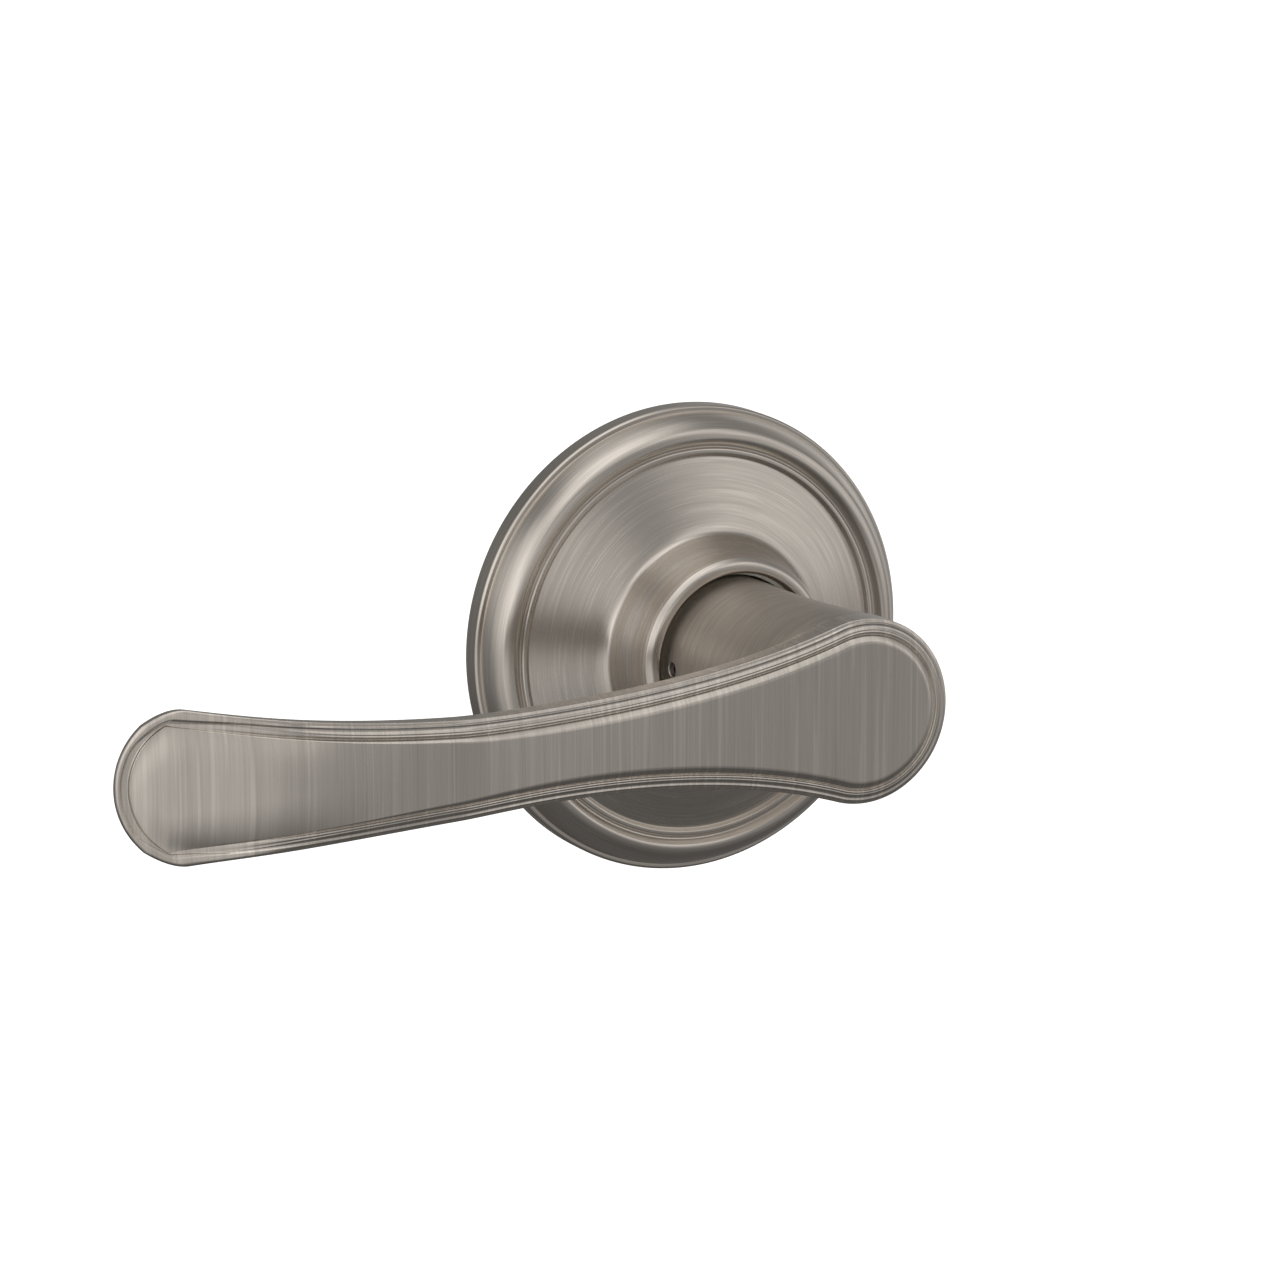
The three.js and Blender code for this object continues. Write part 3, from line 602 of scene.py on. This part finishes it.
def leverBlade(rungSteps=65):
    # side wall, moulded border and bevel as loops of the outline; front and back filled with rungs across
    border = lever["border"]
    beads = rounded([
        (0, -0.6), (0, -0.14, 0.16), (0.44, -0.14, 0.06), (0.6, 0.03, 0.07), (1.0, -0.17, 0.3),
        (1.42, 0.05, 0.06), (1.58, -0.03, 0.05), (1.74, 0.04, 0.05), (1.9, -0.04, 0.05), (2.03, -0.34, 0.06),
        (2.16, -0.36, 0.05), (2.3, -0.12, 0.06), (border, -0.06),
    ], 6)
    plain = rounded([
        (0, -0.6), (0, -0.2, 0.2), (0.3, 0.0, 0.15), (0.85, 0.0, 0.15), (1.0, -0.3, 0.1), (1.1, -0.38, 0.05),
        (1.3, -0.40, 0.05), (1.6, -0.40, 0.05), (1.9, -0.40, 0.05), (2.1, -0.40, 0.05), (2.22, -0.36, 0.05),
        (2.32, -0.12, 0.06), (border, -0.06),
    ], 6)
    beads[:, 1] -= lever["lean"] * (1 - beads[:, 0] / border)
    fromCorner = np.abs(station - headSteps - edgeSteps - 0.5 * cornerSteps)
    pinch = 1 - 0.75 * (1 - ease(fromCorner / cornerReach))
    outline = halfOutline(0, 0, lever["cornerSoft"])
    edge = halfOutline(border, lever["tipBorder"], 0)
    loops = []
    for (wide, up), (wide2, up2) in zip(beads, plain):
        # the channel closes at the corners, where the outer fillet takes the border's whole width
        squeezed = border - (border - wide2) * pinch if wide2 > 0.9 else wide2 * (2 - pinch)
        at = (edgeMoulding * wide + (1 - edgeMoulding) * squeezed) / border
        lift = edgeMoulding * up + (1 - edgeMoulding) * up2
        loops.append(lifted(outline + (edge - outline) * at[:, None], lift))
    deep = halfOutline(border + lever["bevel"], lever["tipBorder"] + lever["bevel"], 0)
    for s, up in rounded([(0, 0), (0.82, 0.9, 0.2), (1.25, 1.0, 0.2), (1.5, 1.0)], 7):
        flat = edge + (deep - edge) * (bevelShare * s)[:, None]
        loops.append(lifted(flat, -0.06 + lever["rise"] * bevelShare * up))
    # side wall down to the back, drawn in a little; at the head it runs straight on to the shank
    armShare = ease((station - headSteps) / (0.15 * edgeSteps))
    wall = []
    for depth, inset in rounded([(0.0, 0), (0.72, 0.03, 0.15), (1, 0.3)], 8):
        flat = outline + (edge - outline) * (inset * (0.02 + 0.98 * armShare))[:, None]
        top, bottom = 0.6 + lever["lean"] * edgeMoulding, thickAt(flat[:, 0])
        wall.append(lifted(flat, -top - (bottom - top) * depth))
    parts = []
    for rows in (np.array(loops), np.array(wall)):
        both = bothHalves(rows)
        points = both.reshape(-1, 3)
        parts.append((points, gridFaces(both.shape[0], both.shape[1], True), flatUV(points)))
    across = np.cos(np.linspace(0, pi, rungSteps))
    for rim, swell in ((loops[-1], lever["pillow"]), (wall[-1], 0)):
        rungs = np.repeat(rim[:, None], len(across), axis=1)
        rungs[..., 2] = rim[:, None, 2] * across
        # the panel rolls down to its edges near the end, more gently further along
        chord = np.sqrt((endRadius - lever["tipBorder"]) ** 2 - rungs[..., 2] ** 2)
        fromEnd = rungs[..., 0] - endCentre[0] + chord
        fromEdge = rim[:, None, 2] * (1 - np.abs(across))
        near = 1 - ease((rungs[..., 0] + lever["swellFrom"]) / lever["swellRun"])
        rollEnd = 1 - (1 - np.clip(fromEnd / lever["rollEnd"], 0, 1)) ** 2
        rollEdge = 1 - (1 - np.clip(fromEdge / lever["rollEdge"], 0, 1)) ** 2
        rungs[..., 1] -= swell * near * rollEnd * rollEdge
        points = rungs.reshape(-1, 3)
        parts.append((points, gridFaces(halfCount, len(across)), flatUV(points)))
    return parts


def shankSurface(columns=256, half=12):
    # tube about the spindle axis, flared outside and blind inside, flaring further under the arm; a square
    # window of 2 x half cells in the outer wall and one in the bore are joined by the release hole's loops
    root = lever["headOut"] - lever["thick"]
    start, hole = back("lever_handle"), lever["holeOut"]
    cells = 2 * half + 1
    outerRows = hole + np.linspace(-3.4, 3.4, cells)      # as high as the windows are wide
    innerRows = hole + np.linspace(2.7, -2.7, cells)
    outside = [(lever["bore"], start), (lever["shank"] - 0.3, start), (lever["shank"], start + 0.3)]
    flare = rounded([
        (lever["shank"], hole + 3.5), (11.7, 32, 5), (12.3, 43, 5), (lever["head"] - 0.03, root),
    ], 14)
    top = [(lever["head"] - 0.4, root + 0.6), (0, root + 0.6), (0, lever["boreEnd"]),
           (lever["bore"], lever["boreEnd"])]
    profile = np.vstack([
        outside, np.stack([np.full(cells, lever["shank"]), outerRows], -1), flare, top,
        np.stack([np.full(cells, lever["bore"]), innerRows], -1), [(lever["bore"], start)],
    ])
    angle = np.linspace(0, 2 * pi, columns, endpoint=False)
    points, faces, uv = spun(profile, columns, closed=False)
    points = points.reshape(len(profile), columns, 3)
    # under the arm the flare widens into a fillet
    under = np.clip(-np.cos(angle), 0, 1) ** 4
    late = np.clip((profile[:, 1] - (root - 6)) / 6, 0, 1) * (profile[:, 0] > lever["shank"] - 0.1)
    wider = 1 + 0.28 * (late ** 3)[:, None] * under
    points[..., 0] *= wider
    points[..., 2] *= wider
    keep = np.ones((len(profile) - 1, columns), bool)
    middle = columns // 2
    rings = []
    for first in (len(outside), len(outside) + cells + len(flare) + len(top)):
        keep[first:first + 2 * half, middle - half:middle + half] = False
        block = points[first:first + cells, middle - half:middle + half + 1]
        rings.append(np.vstack([block[0, :-1], block[:-1, -1], block[-1, :0:-1], block[:0:-1, 0]]))
    loops = [rings[0]]
    spoke = np.arctan2(-rings[0][:, 1] - hole, rings[0][:, 2])
    wide, narrow = lever["pocketRadius"], lever["holeRadius"]
    step = lever["pocketReach"]
    for reach, rho in ((lever["shank"], narrow + 0.12), (lever["shank"] - 0.1, narrow), (step + 0.05, narrow),
                       (step, wide), (lever["bore"], wide)):
        z = rho * np.cos(spoke)
        out = hole + rho * np.sin(spoke)
        loops.append(np.stack([-np.sqrt(reach ** 2 - z ** 2), -out, z], -1))
    # the bore's window is listed from its far row, so its loop is matched to the nearest spokes
    spokeIn = np.arctan2(-rings[1][:, 1] - hole, rings[1][:, 2])
    order = np.argsort(spokeIn)[np.argsort(np.argsort(spoke))]
    loops.append(rings[1][order])
    tube = np.array(loops)
    tubeUV = np.stack([-tube[..., 1], tube[..., 2]], -1).reshape(-1, 2)
    tubeFaces = gridFaces(len(loops), 8 * half, True)
    return (points.reshape(-1, 3), faces[keep.ravel()], uv), (tube.reshape(-1, 3), tubeFaces, tubeUV)


makePiece("lever", [joinParts(leverBlade()), joinParts(shankSurface())], [upright, shankNickelPaintedShade], "lever",
          ["lever_handle"], sharp=32)
print("lever made")


# bushing and washers
washers = {
    "inner": 11.8, "body": 13.0, "flange": 1.0,      # bushing: bore, outer radius, flange's thickness
    "bore": 9.3, "wave": 0.2, "waveThick": 0.3,      # washers on the sleeve, and the wave's height
}


def ringProfile(inner, outer, near, far, soft):
    # a four-cornered ring section with softened corners, started in the middle of its bore
    middle = (near + far) / 2
    return rounded([
        (inner, middle), (inner, near, soft), (outer, near, soft), (outer, far, soft), (inner, far, soft),
        (inner, middle),
    ], 4)[:-1]


def bushingProfile():
    # a ring with a flange on its side nearest the door
    near, far = back("neck_bushing"), front("neck_bushing")
    flange, body, bore = high("neck_bushing", 0), washers["body"], washers["inner"]
    middle, step = (near + far) / 2, near + washers["flange"]
    return rounded([
        (bore, middle), (bore, near, 0.25), (flange, near, 0.2), (flange, step, 0.2), (body, step, 0.15),
        (body, far, 0.2), (bore, far, 0.25), (bore, middle),
    ], 4)[:-1]


def wavedRing():
    # the ring section spun round, then moved along the axis by a sine with three waves to the turn
    middle, half = -(low("wave_washer", 1) + high("wave_washer", 1)) / 2, washers["waveThick"] / 2
    section = ringProfile(washers["bore"], high("wave_washer", 0), middle - half, middle + half, 0.08)
    points, faces, uv = spun(section)
    points[:, 1] += washers["wave"] * np.sin(3 * np.arctan2(points[:, 2], points[:, 0]))
    return points, faces, uv


makePiece("bushing", [spun(bushingProfile())], [whiteNylon], "mounting", ["neck_bushing"])
near, far = back("thrust_washer"), front("thrust_washer")
thrust = ringProfile(washers["bore"], high("thrust_washer", 0), near, far, 0.12)
makePiece("thrustWasher", [spun(thrust)], [whiteNylon], bodyOf("thrust_washer"), ["thrust_washer"])
makePiece("waveWasher", [wavedRing()], [tempered], bodyOf("wave_washer"), ["wave_washer"])
print("bushing and washers made")


# springs and catch
coils = {
    "wire": 1.3, "turns": 1, "spread": 11.5, "legSide": 2.9,                     # return spring
    "catchWire": 0.6, "catchRadius": 2.0, "catchTurns": 6, "catchOut": 20.0,     # catch's spring
    "flange": 1.2, "guide": 1.1, "guideLong": 4.2, "nose": 1.7, "travel": 1.4,   # catch
}


def returnCoil():
    # a coil round the sleeve, rising evenly, whose two ends turn down into straight legs below it; each turn
    # is a quadratic curve from the leg to the coil
    foot = -pi / 2 + math.asin(coils["legSide"] / coils["spread"])
    sweep = 2 * pi * coils["turns"] - 2 * (foot + pi / 2)
    near = back("return_spring") + coils["wire"] / 2
    far = front("return_spring") - coils["wire"] / 2
    share = np.linspace(0, 1, 220)
    angle = foot + sweep * share
    coil = np.stack([coils["spread"] * np.cos(angle), -near - (far - near) * share,
                     coils["spread"] * np.sin(angle)], -1)[6:-6]
    end, t = low("return_spring", 2), np.linspace(0, 1, 12)[:, None]
    ends = []
    for side, out, meets in ((coils["legSide"], near, coil[0]), (-coils["legSide"], far, coil[-1])):
        top = np.array([side, -out, -coils["spread"] - 1.2])
        bend = np.array([side, -out, -coils["spread"] + 0.35])
        line = np.array([side, -out, end]) * (1 - t) + top * t
        curve = (1 - t) ** 2 * top + 2 * t * (1 - t) * bend + t ** 2 * meets
        ends.append(np.vstack([line[:-1], curve[:-1]]))
    return tubeAlong(np.vstack([ends[0], coil, ends[1][::-1]]), coils["wire"] / 2)


def catchCoil():
    # an even helix along X round the catch's guide
    half = coils["catchWire"] / 2
    t = np.linspace(0, 1, 420)
    angle = 2 * pi * coils["catchTurns"] * t
    start, end = low("catch_spring", 0) + half, high("catch_spring", 0) - half
    x = start + (end - start) * t
    path = np.stack([x, coils["catchRadius"] * np.cos(angle) - coils["catchOut"],
                     coils["catchRadius"] * np.sin(angle)], -1)
    return tubeAlong(path, half, 12)


def catchPin():
    # domed nose, flange that stops inside the sleeve, and a thin guide for the spring
    start, end = low("lever_catch", 0), high("lever_catch", 0)
    face, nose, flange = end - coils["guideLong"], coils["nose"], high("lever_catch", 2)
    behind = face + coils["flange"]
    profile = rounded([
        (0, start), (nose - 0.5, start, 0.3), (nose, start + 0.5, 0.3), (nose, face, 0.1),
        (flange, face, 0.2), (flange, behind, 0.2), (coils["guide"], behind, 0.1),
        (coils["guide"], end, 0.3), (0, end),
    ], 5)
    return spun(profile, 96, (coils["catchOut"], 0), "x", closed=False)


makePiece("returnSpring", [returnCoil()], [tempered], bodyOf("return_spring"), ["return_spring"])
coil = makePiece("catchSpring", [catchCoil()], [tempered], bodyOf("catch_spring"), ["catch_spring"])
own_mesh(coil)
makePiece("catchPin", [catchPin()], [plainSteel], bodyOf("lever_catch"), ["lever_catch"])
print("springs and catch made")


# posts
posts = {"radius": 4.0, "spigot": 3.0, "bore": 2.1, "floor": 0.25, "threads": 22, "deep": 0.16}


def postProfile(node):
    # riveted spigot, shoulder, body with a chamfered end, and a bore whose wall is a row of thread crests
    end, tip = back(node), front(node)
    bore, crests = posts["bore"], posts["threads"]
    steps = np.linspace(end + 0.8, posts["floor"] - 0.6, 6 * crests)
    wave = bore + posts["deep"] * np.cos(np.linspace(0, 2 * pi * crests, 6 * crests))
    outer = rounded([
        (0, tip), (posts["spigot"], tip, 0.3), (posts["spigot"], -0.25, 0.1), (posts["radius"], -0.25, 0.3),
        (posts["radius"], end, 0.5), (bore + 0.6, end, 0.2), (bore + 0.16, end + 0.7),
    ], 4)
    return np.vstack([outer, np.stack([wave, steps], -1), [(0, posts["floor"])]])


for name, node in (("postLeft", "mounting_post_left"), ("postRight", "mounting_post_right")):
    centre = ((low(node, 0) + high(node, 0)) / 2, 0)
    makePiece(name, [spun(postProfile(node), 96, centre, closed=False)], [zincPlate], bodyOf(node), [node])
print("posts made")


# nodes kept from the CAD: a finish for each by the start of its name
finishes = {
    "spring_cage": zincPlate, "spindle_sleeve": zincPlate, "driver_cam": plainSteel, "spindle": plainSteel,
    "snap_ring": tempered, "spindle_pin": tempered, "rose_clip": tempered, "clip_rivet": plainSteel,
    "cage_screw": plainSteel, "mounting_plate": castZinc, "catch_carrier": blackNylon,
}
for node, piece in frame["nodes"].items():
    for start in sorted(finishes, key=len):
        if node.startswith(start):
            piece.material_slots[0].material = finishes[start]
print("kept nodes finished")


# studio
studio = {
    "azimuth": -27.07, "elevation": 12.5, "distance": 0.816, "lens": 159.1,
    "side": 0.00563, "rise": 0.00078,       # how far the axis stands off the middle of the view
    "floor": -0.45,
    # soft glows of light: direction, angle of the full middle, angle where it ends, strength
    "glows": [
        ((-0.73, -0.49, 0.47), 10, 40, 0.44),    # main light, high on the left
        ((-0.95, -0.02, 0.33), 12, 32, 0.42),    # its far end
        ((-0.20, -0.41, 0.89), 12, 34, 0.55),    # overhead
        ((-0.05, 0.05, 1.00), 12, 34, 0.50),     # its far end
        ((0.44, -0.62, 0.65), 6, 23, 0.62),      # high in front
        ((0.78, -0.60, 0.15), 8, 29, 0.50),      # on the right
        ((-0.08, -0.98, 0.18), 4, 16, 0.42),     # narrow, straight in front
        ((-0.75, -0.63, -0.20), 12, 46, 0.42),   # low fill on the left
        ((0.08, -0.97, -0.22), 6, 24, 0.14),     # and in front
        ((0.92, 0.37, -0.09), 6, 24, 0.28),
        ((-0.74, 0.60, 0.30), 6, 20, 0.14),      # two small ones behind
        ((0.74, 0.60, 0.30), 10, 24, 0.34),
        ((-0.40, 0.91, 0.00), 20, 60, -0.08),    # a darker wall behind
    ],
    "ceiling": 0.22, "wall": 0.23, "ground": 0.10,
    "backdrop": 0.93,
}


def makeCamera():
    # the camera stands back along the view direction, moved by side and rise to set the framing
    a, e = math.radians(studio["azimuth"]), math.radians(studio["elevation"])
    away = np.array([math.sin(a) * math.cos(e), -math.cos(a) * math.cos(e), math.sin(e)])
    right = np.array([math.cos(a), math.sin(a), 0])
    up = np.cross(away, right)
    data = bpy.data.cameras.new("camera")
    data.lens = studio["lens"]
    data.sensor_width = 36
    data.clip_start = 0.01
    camera = bpy.data.objects.new("camera", data)
    bpy.context.collection.objects.link(camera)
    camera.location = away * studio["distance"] - right * studio["side"] - up * studio["rise"]
    camera.rotation_euler = (math.radians(90) - e, 0, a)
    bpy.context.scene.camera = camera


def makeFloor():
    # one pale square under the object
    mesh = bpy.data.meshes.new("floor")
    s, z = 6.0, studio["floor"]
    mesh.from_pydata([(-s, -s, z), (s, -s, z), (s, s, z), (-s, s, z)], [], [(0, 1, 2, 3)])
    floor = bpy.data.objects.new("floor", mesh)
    bpy.context.collection.objects.link(floor)
    material, tree, shader = nodesOf("pale floor", 0.0, 0.9)
    shader.inputs["Base Color"].default_value = (0.9, 0.9, 0.9, 1)
    shader.inputs["Emission Color"].default_value = (1, 1, 1, 1)
    shader.inputs["Emission Strength"].default_value = 0.8
    mesh.materials.append(material)
    floor.visible_glossy = False


def spread(tree, value, low0, high0, low1, high1):
    # a smooth change from low1 to high1 as the value goes from low0 to high0
    node = tree.nodes.new("ShaderNodeMapRange")
    node.interpolation_type = "SMOOTHSTEP"
    for socket, number in zip(node.inputs[1:5], (low0, high0, low1, high1)):
        socket.default_value = number
    tree.links.new(value, node.inputs["Value"])
    return node.outputs["Result"]


def makeWorld():
    # the studio's light: a dim room with soft glows in it, behind a pale backdrop that only the eye sees
    world = bpy.data.worlds.new("studio")
    bpy.context.scene.world = world
    world.use_nodes = True
    tree = world.node_tree
    way = tree.nodes.new("ShaderNodeTexCoord").outputs["Generated"]
    split = tree.nodes.new("ShaderNodeSeparateXYZ")
    tree.links.new(way, split.inputs[0])
    height = split.outputs[2]
    light = calc(
        tree, "ADD",
        spread(tree, height, -0.75, -0.2, studio["ground"], studio["wall"]),
        spread(tree, height, 0.3, 0.9, 0.0, studio["ceiling"] - studio["wall"]),
    )
    for centre, full, ends, strength in studio["glows"]:
        dot = tree.nodes.new("ShaderNodeVectorMath")
        dot.operation = "DOT_PRODUCT"
        dot.inputs[1].default_value = Vector(centre).normalized()
        tree.links.new(way, dot.inputs[0])
        edges = math.cos(math.radians(ends)), math.cos(math.radians(full))
        light = calc(tree, "ADD", light, spread(tree, dot.outputs["Value"], *edges, 0.0, strength))
    seen = tree.nodes.new("ShaderNodeLightPath").outputs["Is Camera Ray"]
    pick = tree.nodes.new("ShaderNodeMix")
    tree.links.new(seen, pick.inputs["Factor"])
    tree.links.new(light, pick.inputs[2])
    pick.inputs[3].default_value = studio["backdrop"]
    background = tree.nodes["Background"]
    tree.links.new(pick.outputs[0], background.inputs["Strength"])
    background.inputs["Color"].default_value = (1, 0.995, 0.985, 1)


makeCamera()
makeFloor()
makeWorld()
bpy.context.scene.view_settings.view_transform = "Standard"
print("studio set")
